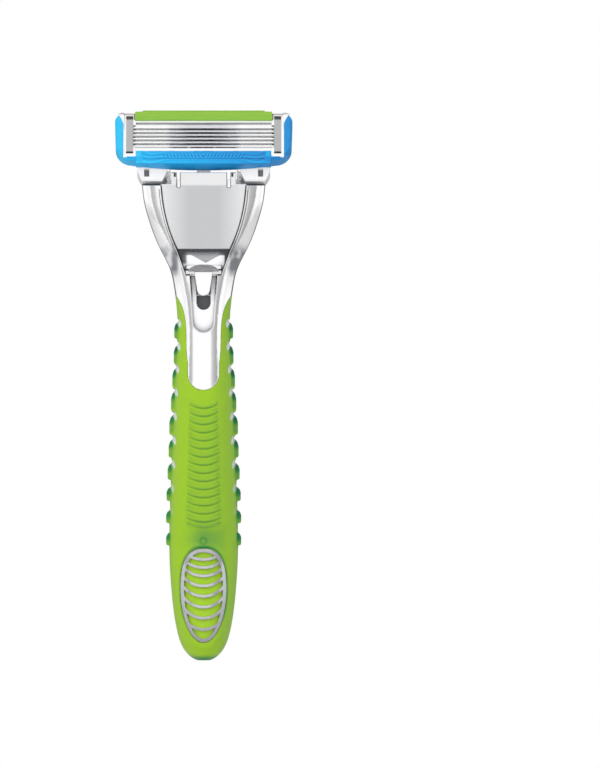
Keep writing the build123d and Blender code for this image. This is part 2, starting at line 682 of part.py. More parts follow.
with BuildPart() as foot:
    with BuildSketch(SIDE.offset(8)):
        with Locations((0, FRAME_BACK / 2)):
            Rectangle(2 * FOOT_RADIUS, FRAME_BACK)
        Circle(FOOT_RADIUS)
        with Locations((0, FRAME_BACK)):
            Rectangle(3 * FOOT_RADIUS, 2 * FOOT_RADIUS, align=(Align.CENTER, Align.MIN), mode=Mode.SUBTRACT)
    extrude(amount=8)
    # its sides lean in towards the bottom
    with BuildSketch(FACE.offset(-5)):
        with BuildLine():
            Polyline(
                (FOOT_INNER_LOW, -FOOT_RADIUS),
                (FOOT_INNER_HIGH, FOOT_BENT),
                (FOOT_INNER_HIGH, FOOT_RADIUS),
                (FOOT_OUTER_HIGH, FOOT_RADIUS),
                (FOOT_OUTER_HIGH, FOOT_BENT),
                (FOOT_OUTER_LOW, -FOOT_RADIUS),
                close=True,
            )
        make_face()
    extrude(amount=10, mode=Mode.INTERSECT)
    # bearing of the latch pin, and the slot in the front
    with BuildSketch(SIDE):
        Circle(PIN_RADIUS + PIN_CLEARANCE)
    extrude(amount=BORE_END, mode=Mode.SUBTRACT)
    add(block(12.75, 13.95, -1.1, 0.95, 0.3, 4), mode=Mode.SUBTRACT)

with BuildPart() as cartridge_frame:
    add(base_plate.part)
    for left, right in ((-FRAME_HALF, -OPENING_HALF), (OPENING_HALF, FRAME_HALF)):
        add(block(left, right, WRAP_BOTTOM, FRAME_TOP, FRAME_STEP, FRAME_FACE))
    add(block(-OPENING_HALF, OPENING_HALF, OPENING_TOP, STRIP_LOW, FRAME_BACK, FRAME_FACE))
    add(block(-OPENING_HALF, OPENING_HALF, STRIP_LOW, FRAME_TOP, FRAME_BACK, STRIP_LEVEL))
    opening = block(-OPENING_HALF, OPENING_HALF, OPENING_BOTTOM, OPENING_TOP, 0, FRAME_FACE + 1)
    add(opening, mode=Mode.SUBTRACT)
    add(block(-STRIP_HALF, STRIP_HALF, STRIP_LOW, FRAME_TOP + 1, STRIP_LEVEL, 9), mode=Mode.SUBTRACT)
    # bars behind the blades
    for left, right in REAR_BARS:
        add(block(left, right, OPENING_BOTTOM - 0.1, OPENING_TOP + 0.1, FRAME_BACK, BAR_LEVEL))
    # pocket and pad for the plunger's tip
    cam = cam_profile()
    add(block(-CAM_HALF, CAM_HALF, cam[0][0], cam[-1][0], 0, BAR_LEVEL), mode=Mode.SUBTRACT)
    with BuildSketch(SIDE):
        with BuildLine():
            rise = Spline(*cam)
            Polyline(rise @ 1, (5.3, 0.9), (6.0, FRAME_BACK), (6.0, BAR_LEVEL))
            Polyline((6.0, BAR_LEVEL), (cam[0][0], BAR_LEVEL), rise @ 0)
        make_face()
    extrude(amount=CAM_HALF, both=True)
    add(foot.part)
    mirror(foot.part, about=Plane.YZ)
    # slots that hold the ends of the blades and their supports
    for index in range(BLADES):
        edge = FIRST_EDGE + index * BLADE_PITCH
        with BuildSketch(SIDE):
            with BuildLine():
                Polyline(
                    (edge - 0.12, 6),
                    (edge - 0.12, EDGE_LEVEL - 0.2),
                    (edge + 0.82, EDGE_LEVEL - 0.67),
                    (edge + 0.92, SUPPORT_FOOT - 0.1),
                    (edge + 1.2, SUPPORT_FOOT - 0.1),
                    (edge + 1.2, EDGE_LEVEL - 0.7),
                    (edge + 1.36, EDGE_LEVEL - 0.62),
                    (edge + 1.36, EDGE_LEVEL - 0.44),
                    (edge + 0.3, EDGE_LEVEL),
                    (edge + 0.3, 6),
                    close=True,
                )
            make_face()
        extrude(amount=BLADE_HALF + 0.1, both=True, mode=Mode.SUBTRACT)
    # slots of the clips
    for side in (-1, 1):
        left = min(side * (CLIP_INNER - 0.05), side * (CLIP_OUTER + 0.05))
        right = max(side * (CLIP_INNER - 0.05), side * (CLIP_OUTER + 0.05))
        for low in (CLIP_LOW - 0.12, CLIP_HIGH + 0.12 - CLIP_SLOT):
            add(block(left, right, low, low + CLIP_SLOT, 0, 9), mode=Mode.SUBTRACT)
save(cartridge_frame.part, "cartridge_frame")

with BuildPart() as guard:
    add(on_face(face_outline(0), FRAME_BACK, GUARD_SHOULDER))
    add(on_face(face_outline(0.4), GUARD_SHOULDER, GUARD_FACE))
    add(base_plate.part, mode=Mode.SUBTRACT)
    add(block(-FRAME_HALF, FRAME_HALF, WRAP_BOTTOM, FRAME_TOP + 1, FRAME_STEP, 9), mode=Mode.SUBTRACT)
    add(block(-PAD_HALF + 0.3, PAD_HALF - 0.3, GUARD_LOW + 0.1, PAD_TOP, FRAME_STEP, GUARD_FACE - 0.1))
save(guard.part, "guard")

with BuildPart() as lube_strip:
    add(block(-STRIP_HALF, STRIP_HALF, STRIP_LOW, 14.0, STRIP_LEVEL, 5.4))
    add(block(-14.3, 14.3, 14.0, 14.35, STRIP_LEVEL, 5.3))
save(lube_strip.part, "lube_strip")

CLIP_OUTLINE = (
    (CLIP_LOW, 1.2),
    (CLIP_LOW, FRAME_FACE + CLIP_THICK),
    (CLIP_HIGH, FRAME_FACE + CLIP_THICK),
    (CLIP_HIGH, 1.2),
    (CLIP_HIGH - CLIP_THICK, 1.2),
    (CLIP_HIGH - CLIP_THICK, FRAME_FACE),
    (CLIP_LOW + CLIP_THICK, FRAME_FACE),
    (CLIP_LOW + CLIP_THICK, 1.2),
)


def clip(side):
    """A staple of thin sheet over the blade ends, its legs bent through the frame."""
    with BuildPart() as staple:
        with BuildSketch(SIDE.offset(side * CLIP_INNER)):
            with BuildLine():
                Polyline(*CLIP_OUTLINE, close=True)
            make_face()
        extrude(amount=side * (CLIP_OUTER - CLIP_INNER))
    return staple.part


save(clip(-1), "clip_left")
save(clip(1), "clip_right")


def along_blade(edge, run, drop):
    """A point a run back from a cutting edge and a drop beneath the blade's top."""
    u = edge + run * cos(BLADE_SLOPE) - drop * sin(BLADE_SLOPE)
    return (u, EDGE_LEVEL - run * sin(BLADE_SLOPE) - drop * cos(BLADE_SLOPE))


for index in range(BLADES):
    edge = FIRST_EDGE + index * BLADE_PITCH
    blade = across(
        (
            (edge, EDGE_LEVEL),
            along_blade(edge, BLADE_WIDTH, 0),
            along_blade(edge, BLADE_WIDTH, BLADE_THICK),
            along_blade(edge, 0.3, BLADE_THICK),
        ),
        BLADE_HALF,
    )
    save(blade, f"blade_{index + 1}")
    bend = along_blade(edge, 1.25, BLADE_THICK)
    underside = along_blade(edge, 0, BLADE_THICK + SUPPORT_THICK)
    inner_run = (bend[0] - SUPPORT_THICK - underside[0]) / cos(BLADE_SLOPE)
    support = across(
        (
            along_blade(edge, 0.5, BLADE_THICK),
            bend,
            (bend[0], SUPPORT_FOOT),
            (bend[0] - SUPPORT_THICK, SUPPORT_FOOT),
            along_blade(edge, inner_run, BLADE_THICK + SUPPORT_THICK),
            along_blade(edge, 0.5, BLADE_THICK + SUPPORT_THICK),
        ),
        BLADE_HALF,
    )
    save(support, f"blade_support_{index + 1}")
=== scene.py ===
from math import cos, pi, radians, sin

import bmesh
import bpy
import numpy as np
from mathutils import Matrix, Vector

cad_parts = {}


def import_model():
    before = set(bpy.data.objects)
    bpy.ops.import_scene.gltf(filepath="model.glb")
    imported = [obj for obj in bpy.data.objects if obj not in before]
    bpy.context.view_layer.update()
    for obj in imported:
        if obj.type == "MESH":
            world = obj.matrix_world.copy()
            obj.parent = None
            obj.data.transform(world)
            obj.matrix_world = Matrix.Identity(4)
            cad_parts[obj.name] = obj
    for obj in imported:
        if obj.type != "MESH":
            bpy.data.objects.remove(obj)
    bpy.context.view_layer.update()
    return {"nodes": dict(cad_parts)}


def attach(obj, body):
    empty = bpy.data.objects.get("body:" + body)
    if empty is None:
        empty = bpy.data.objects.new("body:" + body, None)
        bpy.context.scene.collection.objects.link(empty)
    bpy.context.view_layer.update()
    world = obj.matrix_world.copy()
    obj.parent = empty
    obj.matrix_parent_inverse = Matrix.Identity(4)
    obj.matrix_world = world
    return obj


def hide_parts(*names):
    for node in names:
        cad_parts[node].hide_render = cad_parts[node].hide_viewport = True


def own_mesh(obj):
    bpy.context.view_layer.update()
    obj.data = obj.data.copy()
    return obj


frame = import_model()

# Cartridge razor.  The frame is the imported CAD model, in metres: +Z up the handle, +X to the
# right, -Y the front.  Lengths below are millimetres and go through MM.

NODES = frame["nodes"]
MM = 0.001

WAIST_HEIGHT = 78.0  # the origin's height above the bottom tip
PIVOT_UP = 36.0  # the cartridge's pivot above the origin
TILT = radians(25)
FRAME_SKIN = 4.97  # just proud of the cartridge frame's face, out from the pivot axis
GUARD_SKIN = 5.42  # just proud of the guard's face
PLATE_SKIN = -3.3  # just proud of the face plate, along Y


def smooth_step(value, low, high):
    """0 below low, 1 above high, and an even turn between them."""
    share = np.clip((value - low) / (high - low), 0, 1)
    return share * share * (3 - 2 * share)


def hump(value, middle, half):
    """1 in the middle and 0 at half away from it, like a bell."""
    share = np.clip(np.abs(value - middle) / half, 0, 1)
    return (1 - share * share) ** 2


# ---------------------------------------------------------------- materials
class Paint:
    """A material in the making: its Principled shader, and short calls that add nodes."""

    def __init__(self, name):
        self.material = bpy.data.materials.new(name)
        self.material.use_nodes = True
        self.tree = self.material.node_tree
        self.shader = self.tree.nodes["Principled BSDF"]
        self.place = self.node("ShaderNodeTexCoord").outputs["Object"]

    def node(self, kind, **settings):
        made = self.tree.nodes.new(kind)
        for name, value in settings.items():
            setattr(made, name, value)
        return made

    def join(self, source, target):
        self.tree.links.new(source, target)

    def give(self, **values):
        """Uniform values, straight on the shader's sockets."""
        for name, value in values.items():
            self.shader.inputs[name.replace("_", " ")].default_value = value

    def math(self, operation, *inputs):
        made = self.node("ShaderNodeMath", operation=operation)
        for socket, value in zip(made.inputs, inputs):
            if isinstance(value, (int, float)):
                socket.default_value = value
            else:
                self.join(value, socket)
        return made.outputs[0]

    def axis(self, name):
        """One coordinate of the surface point, in millimetres."""
        split = self.node("ShaderNodeSeparateXYZ")
        self.join(self.place, split.inputs[0])
        return self.math("MULTIPLY", split.outputs[name], 1 / MM)

    def noise(self, size, detail=3.0, stretch=(1, 1, 1)):
        """Noise whose lumps are about that size in millimetres, longer along the stretched axes."""
        mapping = self.node("ShaderNodeMapping")
        mapping.inputs["Scale"].default_value = [1 / (MM * size * way) for way in stretch]
        self.join(self.place, mapping.inputs["Vector"])
        made = self.node("ShaderNodeTexNoise")
        made.inputs["Scale"].default_value = 1
        made.inputs["Detail"].default_value = detail
        self.join(mapping.outputs[0], made.inputs["Vector"])
        return made.outputs["Fac"]

    def span(self, value, low, high, to_low=0.0, to_high=1.0):
        made = self.node("ShaderNodeMapRange")
        for name, number in (("From Min", low), ("From Max", high), ("To Min", to_low), ("To Max", to_high)):
            made.inputs[name].default_value = number
        self.join(value, made.inputs["Value"])
        return made.outputs[0]

    def attribute(self, name):
        return self.node("ShaderNodeAttribute", attribute_name=name).outputs["Fac"]

    def ramp(self, factor, *stops):
        """Colours from a factor: each stop is a position and a screen colour from 0 to 255."""
        made = self.node("ShaderNodeValToRGB")
        marks = made.color_ramp.elements
        while len(marks) < len(stops):
            marks.new(1)
        for mark, (position, colour) in zip(marks, stops):
            mark.position = position
            mark.color = screen(colour)
        self.join(factor, made.inputs[0])
        return made.outputs[0]

    def crevice(self, reach):
        """1 on open surface, less where neighbours within reach (in millimetres) hide the light."""
        made = self.node("ShaderNodeAmbientOcclusion", samples=8)
        made.inputs["Distance"].default_value = reach * MM
        return made.outputs["AO"]

    def rough(self, factor, low, high):
        self.join(self.span(factor, 0.25, 0.75, low, high), self.shader.inputs["Roughness"])

    def colour(self, source):
        self.join(source, self.shader.inputs["Base Color"])

    def relief(self, height, deep, edge=None):
        """Bump of that depth in millimetres, over edges rounded to a radius if one is given."""
        made = self.node("ShaderNodeBump")
        made.inputs["Distance"].default_value = deep * MM
        self.join(height, made.inputs["Height"])
        if edge:
            rounding = self.node("ShaderNodeBevel", samples=4)
            rounding.inputs["Radius"].default_value = edge * MM
            self.join(rounding.outputs[0], made.inputs["Normal"])
        self.join(made.outputs[0], self.shader.inputs["Normal"])


def screen(colour):
    """A linear colour from one as seen on the screen, 0 to 255."""
    parts = [level / 255 for level in colour]
    return [level / 12.92 if level <= 0.04045 else ((level + 0.055) / 1.055) ** 2.4 for level in parts] + [1]


def chrome(name, winged=False):
    """Plated metal, its colour darkened by painted shade in crevices and by painted dark reflections where
    the arms flare out.  The winged kind, on the button, has painted grey shade between and round two painted
    pale highlights shaped like wings.
    """
    paint = Paint(name)
    paint.give(Metallic=1.0)
    haze = paint.span(paint.noise(6, 2), 0.3, 0.7, -0.01, 0.01)
    # painted shade: the colour darkens in crevices that the occlusion finds
    light = paint.math("ADD", paint.crevice(2.6), haze)
    # painted reflection: dark, smoky patches where the arms flare out
    rising, ending = paint.span(paint.axis("Z"), 10.0, 14.0), paint.span(paint.axis("Z"), 22.0, 17.5)
    flare = paint.math("MULTIPLY", rising, ending)
    outer = paint.span(paint.math("ABSOLUTE", paint.axis("X")), 4.8, 6.4)
    painted_smoky_reflection = paint.math("MULTIPLY", flare, outer)
    painted_smoky_reflection = paint.math("MULTIPLY", painted_smoky_reflection, paint.span(paint.noise(3.2, 2, (1, 4, 1.6)), 0.28, 0.5, 0.08, 0.58))
    light = paint.math("SUBTRACT", light, painted_smoky_reflection)
    if winged:
        # painted highlights: two pale wings, with painted grey shade between and round them
        rise = paint.math("SUBTRACT", paint.axis("Z"), 15.5)
        aside = paint.math("ABSOLUTE", paint.math("SUBTRACT", paint.axis("X"), 0.5))
        slant = paint.span(paint.math("SUBTRACT", aside, paint.math("MULTIPLY", rise, 1.8)), 0.1, 0.5)
        painted_highlight_wings = paint.math("MULTIPLY", slant, paint.span(aside, 4.8, 4.2))
        painted_highlight_wings = paint.math("MULTIPLY", painted_highlight_wings, paint.span(rise, 1.9, 1.5))
        between = paint.math("SUBTRACT", 1.0, painted_highlight_wings)
        shade = paint.math("MULTIPLY", between, paint.span(rise, -0.6, 0.2, 0.0, 0.42))
        light = paint.math("SUBTRACT", light, shade)
    greys = ((0.22, (70, 71, 74)), (0.44, (150, 151, 155)), (0.6, (214, 215, 218)), (0.74, (250, 250, 251)))
    paint.colour(paint.ramp(light, *greys))
    paint.rough(paint.noise(1.5, 5), 0.05, 0.1)
    paint.relief(paint.noise(9, 1), 0.01, edge=0.3)
    return paint.material


def rubber():
    paint = Paint("grip_rubber")
    # the green darkens with the painted shade carried by the mesh
    tone_and_shade = paint.attribute("tone_and_shade")
    mottle = paint.math("ADD", tone_and_shade, paint.span(paint.noise(2.5, 4), 0.3, 0.7, -0.03, 0.03))
    greens = (
        (0.0, (155, 200, 28)),
        (0.25, (140, 188, 42)),
        (0.5, (104, 162, 60)),
        (0.78, (36, 134, 58)),
        (1.0, (8, 98, 58)),
    )
    silver = paint.ramp(paint.noise(1.0, 3), (0.3, (214, 222, 222)), (0.7, (232, 236, 236)))
    blend = paint.node("ShaderNodeMix", data_type="RGBA")
    first, second, mixed = blend.inputs[6], blend.inputs[7], blend.outputs[2]  # the colour sockets
    paint.join(paint.attribute("metal"), blend.inputs["Factor"])
    paint.join(paint.ramp(mottle, *greens), first)
    paint.join(silver, second)
    paint.colour(mixed)
    paint.give(Sheen_Weight=0.08, Sheen_Roughness=0.5)
    paint.shader.inputs["Specular IOR Level"].default_value = 0.35
    paint.rough(paint.noise(0.5, 4), 0.42, 0.55)
    paint.relief(paint.noise(0.16, 3), 0.012)
    return paint.material


def pad_rubber():
    paint = Paint("pad_rubber")
    paint.colour(paint.ramp(paint.noise(2.0, 3), (0.3, (166, 212, 44)), (0.7, (176, 221, 52))))
    paint.shader.inputs["Specular IOR Level"].default_value = 0.3
    paint.rough(paint.noise(0.5, 4), 0.45, 0.6)
    paint.relief(paint.noise(0.2, 3), 0.01)
    return paint.material


def satin():
    """Satin metal of the face plate, with a painted reflection: grey in the middle, paler towards the sides
    and the top.
    """
    paint = Paint("satin_metal")
    paint.give(Metallic=0.75)
    # painted reflection: the grey middle pales towards the sides and the top
    aside = paint.math("ABSOLUTE", paint.axis("X"))
    edge = paint.span(aside, 3.5, 9.0)
    raised = paint.span(paint.axis("Z"), 33.3, 33.8, 0.0, 0.88)
    pale = paint.math("MAXIMUM", paint.math("MULTIPLY", edge, 0.75), raised)
    fine = paint.math("ADD", pale, paint.span(paint.noise(0.5, 4, (14, 1, 1)), 0.3, 0.7, -0.02, 0.02))
    paint.colour(paint.ramp(fine, (0.0, (203, 204, 206)), (0.6, (228, 229, 230)), (1.0, (246, 246, 247))))
    paint.rough(paint.noise(0.3, 4, (20, 1, 1)), 0.32, 0.42)
    paint.relief(paint.noise(0.12, 3, (30, 1, 1)), 0.004, edge=0.1)
    return paint.material


def steel(name, dark, light, rough, metal=1.0):
    """A finely grained grey, bare metal unless told otherwise."""
    paint = Paint(name)
    paint.give(Metallic=metal)
    grain = paint.noise(0.25, 5)
    paint.colour(paint.ramp(grain, (0.25, dark), (0.75, light)))
    paint.rough(grain, *rough)
    paint.relief(grain, 0.004)
    return paint.material


def blade_steel():
    """Ground steel with streaks along the blade: a painted dark reflection at the middle, paler towards the
    ends.
    """
    paint = Paint("blade_steel")
    paint.give(Metallic=1.0)
    # painted reflection: dark at the middle of the blade, paler towards the ends
    middle = paint.span(paint.math("ABSOLUTE", paint.axis("X")), 4.0, 9.0)
    streak = paint.math("ADD", middle, paint.span(paint.noise(0.35, 4, (16, 1, 1)), 0.3, 0.7, -0.18, 0.18))
    paint.colour(paint.ramp(streak, (0.0, (212, 213, 216)), (0.55, (228, 229, 232)), (1.0, (249, 249, 249))))
    paint.rough(paint.noise(0.2, 4, (20, 1, 1)), 0.12, 0.2)
    paint.relief(paint.noise(0.12, 3, (30, 1, 1)), 0.003)
    return paint.material


def grille_metal():
    """Plated metal with painted light: pale where it faces up and darkened by painted shade where it faces
    down.
    """
    paint = Paint("grille_metal")
    paint.give(Metallic=1.0)
    split = paint.node("ShaderNodeSeparateXYZ")
    paint.join(paint.node("ShaderNodeNewGeometry").outputs["Normal"], split.inputs[0])
    speckle = paint.span(paint.noise(0.8, 3), 0.3, 0.7, -0.05, 0.05)
    # painted light and shade by which way the surface faces
    facing = paint.math("ADD", paint.span(split.outputs["Z"], -0.8, 0.6), speckle)
    paint.colour(paint.ramp(facing, (0.0, (96, 97, 100)), (0.5, (190, 191, 195)), (1.0, (246, 246, 248))))
    paint.rough(paint.noise(0.8, 4), 0.12, 0.2)
    paint.relief(paint.noise(3, 1), 0.01, edge=0.35)
    return paint.material


def support_steel():
    """The strips under the blades: pale at the ends, with painted shade at the middle, dark in broken dashes.
    """
    paint = Paint("support_steel")
    paint.give(Metallic=0.9)
    # painted shade: dark at the middle, in broken dashes
    middle = paint.span(paint.math("ABSOLUTE", paint.axis("X")), 2.0, 5.5)
    dashes = paint.span(paint.noise(1.1, 1, (2.2, 1, 1)), 0.42, 0.58, -0.35, 0.35)
    dark = paint.math("ADD", middle, paint.math("MULTIPLY", dashes, paint.math("SUBTRACT", 1.0, middle)))
    paint.colour(paint.ramp(dark, (0.0, (165, 166, 168)), (0.5, (200, 201, 204)), (1.0, (236, 237, 239))))
    paint.rough(paint.noise(0.3, 4), 0.25, 0.4)
    return paint.material


def white_plastic():
    paint = Paint("white_plastic")
    # painted shade: grey where the moulding rounds off along the top of the cartridge
    rise = paint.math("SUBTRACT", paint.axis("Z"), PIVOT_UP)
    along = paint.math("ADD", paint.math("MULTIPLY", paint.axis("Y"), sin(TILT)),
                       paint.math("MULTIPLY", rise, cos(TILT)))
    haze = paint.span(paint.noise(4, 3), 0.3, 0.7, -0.02, 0.02)
    top = paint.math("ADD", paint.span(along, 12.85, 13.6), haze)
    # and painted shade under the feet
    top = paint.math("MAXIMUM", top, paint.span(paint.axis("Z"), 35.1, 34.8, 0.0, 0.3))
    paint.colour(paint.ramp(top, (0.0, (250, 250, 251)), (0.35, (232, 232, 233)), (1.0, (140, 138, 140))))
    paint.rough(paint.noise(0.6, 4), 0.28, 0.38)
    paint.relief(paint.noise(0.25, 3), 0.005, edge=0.12)
    return paint.material


def grey_plastic():
    paint = Paint("grey_plastic")
    paint.colour(paint.ramp(paint.noise(1.2, 4), (0.3, (222, 223, 226)), (0.7, (234, 235, 237))))
    paint.rough(paint.noise(0.5, 4), 0.35, 0.48)
    paint.relief(paint.noise(0.2, 3), 0.006, edge=0.1)
    return paint.material


def elastomer():
    paint = Paint("blue_elastomer")
    # the blue follows the painted light and shade carried by the mesh
    tone_and_shade = paint.attribute("tone_and_shade")
    mottle = paint.math("ADD", tone_and_shade, paint.span(paint.noise(1.5, 4), 0.3, 0.7, -0.03, 0.03))
    blues = ((0.0, (44, 200, 246)), (0.3, (14, 170, 236)), (0.65, (6, 134, 206)), (1.0, (4, 92, 154)))
    paint.colour(paint.ramp(mottle, *blues))
    paint.shader.inputs["Specular IOR Level"].default_value = 0.4
    paint.rough(paint.noise(0.4, 4), 0.35, 0.48)
    paint.relief(paint.noise(0.14, 3), 0.01)
    return paint.material


def strip_polymer():
    """Lubricating strip: waxy, with faint streaks along it."""
    paint = Paint("strip_polymer")
    streaks = paint.noise(0.6, 4, (9, 1, 1))
    paint.colour(paint.ramp(streaks, (0.25, (130, 183, 46)), (0.75, (141, 192, 54))))
    paint.give(Subsurface_Weight=0.1, Coat_Weight=0.15, Coat_Roughness=0.4)
    paint.rough(streaks, 0.4, 0.55)
    paint.relief(paint.noise(0.3, 4, (3, 1, 1)), 0.012)
    return paint.material


def clip_aluminium():
    """Bead-blasted aluminium, with painted shade where the clip turns down into the frame's slots."""
    paint = Paint("clip_aluminium")
    paint.give(Metallic=0.6)
    along = paint.math("ABSOLUTE", paint.math("SUBTRACT", paint.axis("Z"), 45.3))
    # painted shade at the ends, where the clip turns down into the slots
    ends = paint.span(along, 3.72, 3.8, 0.0, 1.0)
    speckle = paint.span(paint.noise(0.2, 4), 0.3, 0.7, -0.06, 0.06)
    paint.colour(paint.ramp(paint.math("ADD", ends, speckle), (0.0, (184, 184, 185)), (1.0, (70, 70, 72))))
    paint.rough(paint.noise(0.2, 4), 0.4, 0.5)
    paint.relief(paint.noise(0.12, 3), 0.006, edge=0.08)
    return paint.material


def dimpled():
    """Blasted metal with a grid of dimples."""
    paint = Paint("dimpled_metal")
    paint.give(Metallic=0.1)
    cells = paint.node("ShaderNodeTexVoronoi")
    cells.inputs["Scale"].default_value = 1 / (0.62 * MM)
    cells.inputs["Randomness"].default_value = 0.35
    paint.join(paint.place, cells.inputs["Vector"])
    dots = paint.span(cells.outputs["Distance"], 0.18, 0.34)
    paint.colour(paint.ramp(dots, (0.0, (246, 246, 247)), (1.0, (208, 208, 210))))
    paint.rough(paint.noise(0.3, 4), 0.35, 0.5)
    paint.relief(dots, 0.05)
    return paint.material


def floor_paper():
    paint = Paint("floor_paper")
    paint.colour(paint.ramp(paint.noise(40, 4), (0.3, (250, 250, 250)), (0.7, (253, 253, 253))))
    paint.rough(paint.noise(5, 4), 0.8, 0.9)
    return paint.material


CHROME = chrome("chrome_plate")
RUBBER = rubber()
BLADE = blade_steel()
SUPPORT = support_steel()
CLIP = clip_aluminium()
PLASTIC_GREY = grey_plastic()
PLASTIC_WHITE = white_plastic()
SPRING = steel("spring_steel", (120, 122, 126), (190, 192, 196), rough=(0.18, 0.3))
BLUE = elastomer()
DARK = steel("cavity_shade", (128, 129, 132), (138, 139, 142), rough=(0.5, 0.6), metal=0.0)
RIM = steel("rim_shade", (120, 121, 123), (134, 135, 137), rough=(0.4, 0.5), metal=0.0)
PAD = dimpled()
SHADE = steel("joint_shade", (58, 59, 62), (72, 73, 76), rough=(0.5, 0.6), metal=0.0)


def dress(node, material):
    """Gives a CAD node its material."""
    for place in NODES[node].material_slots:
        place.material = material


FINISHES = {
    "handle_core": CHROME,
    "oval_grille": grille_metal(),
    "back_cover": CHROME,
    "release_slider": chrome("button_chrome", winged=True),
    "face_plate": satin(),
    "latch_left": PLASTIC_GREY,
    "latch_right": PLASTIC_GREY,
    "pivot_plunger": PLASTIC_WHITE,
    "cartridge_frame": PLASTIC_WHITE,
    "lube_strip": strip_polymer(),
    "clip_left": CLIP,
    "clip_right": CLIP,
    "pad_insert": pad_rubber(),
}
FINISHES.update({f"blade_{number}": BLADE for number in range(1, 7)})
FINISHES.update({f"blade_support_{number}": SUPPORT for number in range(1, 7)})
for node_name, finish in FINISHES.items():
    dress(node_name, finish)


# ---------------------------------------------------------------- moulded pieces
def remeshed(node, name, voxel, passes, outlines=()):
    """A closed, evenly meshed copy of a CAD node, its edges softened a little.  Outlines are
    pairs of a front view and a depth range, whose prisms join the copy first."""
    copy = bpy.data.objects.new(name, NODES[node].data.copy())
    builder = bmesh.new()
    builder.from_mesh(copy.data)
    for outline, (front, back) in outlines:
        near = [builder.verts.new(Vector((x, front, z)) * MM) for x, z in outline]
        far = [builder.verts.new(Vector((x, back, z)) * MM) for x, z in outline]
        rings = zip(near, far, far[1:] + far[:1], near[1:] + near[:1])
        fresh = [builder.faces.new(ring) for ring in (near, far[::-1], *rings)]
        bmesh.ops.recalc_face_normals(builder, faces=fresh)
    builder.to_mesh(copy.data)
    builder.free()
    bpy.context.scene.collection.objects.link(copy)
    remesh = copy.modifiers.new("remesh", "REMESH")
    remesh.mode = "VOXEL"
    remesh.voxel_size = voxel * MM
    soften = copy.modifiers.new("soften", "SMOOTH")
    soften.factor = 0.5
    soften.iterations = passes
    bpy.context.view_layer.update()
    made = bpy.data.meshes.new_from_object(copy.evaluated_get(bpy.context.evaluated_depsgraph_get()))
    copy.modifiers.clear()
    copy.data = made
    made.shade_smooth()
    return copy


def points_of(mesh):
    """The mesh's points and their normals as arrays, the points in millimetres."""
    points = np.empty(3 * len(mesh.vertices))
    mesh.vertices.foreach_get("co", points)
    normals = np.empty(3 * len(mesh.vertices))
    mesh.vertex_normals.foreach_get("vector", normals)
    return points.reshape(-1, 3) / MM, normals.reshape(-1, 3)


def reshape(mesh, points, tone_and_shade):
    """Puts the points, in millimetres, back in the mesh with a tone and painted shade from 0, pale, to 1,
    dark.
    """
    mesh.vertices.foreach_set("co", (points * MM).ravel())
    layer = mesh.attributes.new("tone_and_shade", "FLOAT", "POINT")
    layer.data.foreach_set("value", np.clip(tone_and_shade, 0, 1))
    mesh.update()


# The handle's half width at a few heights above the tip, as in the frame
HALF_WIDTHS = (
    (0.2, 1.45), (1.8, 3.9), (6.5, 6.1), (11, 6.95), (17, 7.6), (25, 8.05), (33, 8.0),
    (43, 7.7), (54, 7.3), (65, 6.85), (73, 6.35), (80, 6.15), (86, 6.7),
)
RIB_LOW, RIB_HIGH, RIB_PITCH = 31.5, 60.3, 1.9
# fins on each side: height of the top, length, reach from the middle
FINS = (
    (79.1, 3.4, 6.9), (73.7, 4.0, 7.0), (68.3, 4.3, 7.35), (62.9, 4.4, 7.65), (57.3, 4.2, 8.05),
    (51.6, 3.8, 8.2), (46.0, 3.4, 8.45), (40.4, 2.8, 8.7), (35.0, 2.6, 8.8), (29.8, 2.6, 8.8),
)
EGG_MIDDLE, EGG_UP, EGG_DOWN, EGG_HALF = 17.0, 9.4, 12.55, 5.38


def egg_reach(x, height):
    """How far out of the egg outline a point lies: 1 on it, less inside."""
    rise = height - EGG_MIDDLE
    upper = (np.abs(x / EGG_HALF) ** 2.6 + np.abs(rise / EGG_UP) ** 2.6) ** (1 / 2.6)
    lower = np.hypot(x / EGG_HALF, rise / EGG_DOWN)
    return np.where(rise > 0, upper, lower)


def ribs(x, height):
    """Lift and painted shade of the smile-shaped ribs down the front of the grip: painted dark lines along
    each rib's edges and a darker band across it.
    """
    half = np.interp(height, (RIB_LOW, RIB_HIGH), (4.3, 3.4))
    across = np.abs(x) / half
    arc = height - 1.15 * across**2
    inside = smooth_step(1.0 - across, 0.0, 0.12)
    inside = inside * smooth_step(arc, RIB_LOW - 0.3, RIB_LOW) * smooth_step(-arc, -RIB_HIGH, -RIB_HIGH + 0.3)
    phase = np.mod((RIB_HIGH - arc) / RIB_PITCH, 1.0)
    lift = 0.34 * smooth_step(phase, 0.0, 0.12) * smooth_step(-phase, -0.56, -0.42)
    # painted shade: dark lines along the ribs' upper and lower edges
    top_line = hump(phase, 0.03, 0.14) + hump(phase, 1.03, 0.14)
    low_line = hump(phase, 0.54, 0.16)
    tone_and_shade = top_line * (0.22 + 0.28 * across**2) + low_line * (0.6 - 0.3 * across**2)
    tone_and_shade = tone_and_shade + 0.22 * hump(phase, 0.28, 0.26)
    return lift * inside, tone_and_shade * inside


def hooks():
    """Front views of the fins' pointed tips, which stand free of the side."""
    made = []
    for top, length, reach in FINS:
        peak = top + 0.35 - WAIST_HEIGHT
        for side in (-1, 1):
            outline = (
                (reach - 0.8, peak),
                (reach - 0.3, peak - 0.12 * length),
                (reach, peak - 0.4 * length),
                (reach, peak - 0.75 * length),
                (reach - 0.7, peak - 0.8 * length),
                (reach - 0.95, peak - 0.3 * length),
            )
            made.append(([(side * x, z) for x, z in outline], (-2.3, 1.7)))
    return made


